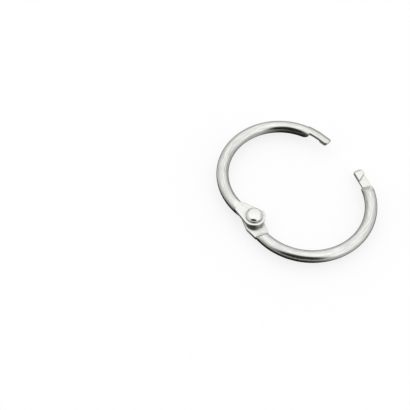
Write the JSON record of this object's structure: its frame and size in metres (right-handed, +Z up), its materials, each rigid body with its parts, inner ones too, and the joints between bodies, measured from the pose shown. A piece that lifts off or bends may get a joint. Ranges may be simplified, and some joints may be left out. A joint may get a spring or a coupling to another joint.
{
  "type": "hinged binder ring",
  "caption": "Round wire binder ring that opens on a riveted hinge of coined paddles and shuts with overlapping hook ends, to hold punched sheets.",
  "frame": {"origin": "on the rivet's axis, at the end face of its tail, which the ring rests on", "axes": "+Z up along the rivet, towards its head; +Y from the hinge to the middle of the opening; +X towards the half whose paddle lies below"},
  "size_m": [0.0417, 0.0324, 0.0048],
  "materials": {
    "upper_wire": "bright nickel plate on steel wire",
    "lower_wire": "bright nickel plate on steel wire",
    "rivet": "bright nickel plate on a headed steel rivet"
  },
  "bodies": {
    "lower_half": {"half_ring_lower": "lower_wire", "hinge_rivet": "rivet"},
    "upper_half": {"half_ring_upper": "upper_wire"}
  },
  "joints": [
    {"name": "ring_hinge", "type": "hinge", "parent": "lower_half", "child": "upper_half", "pos_m": [0, 0, 0.00242], "axis": [0, 0, 1], "range_deg": [-31.3, 2]}
  ]
}
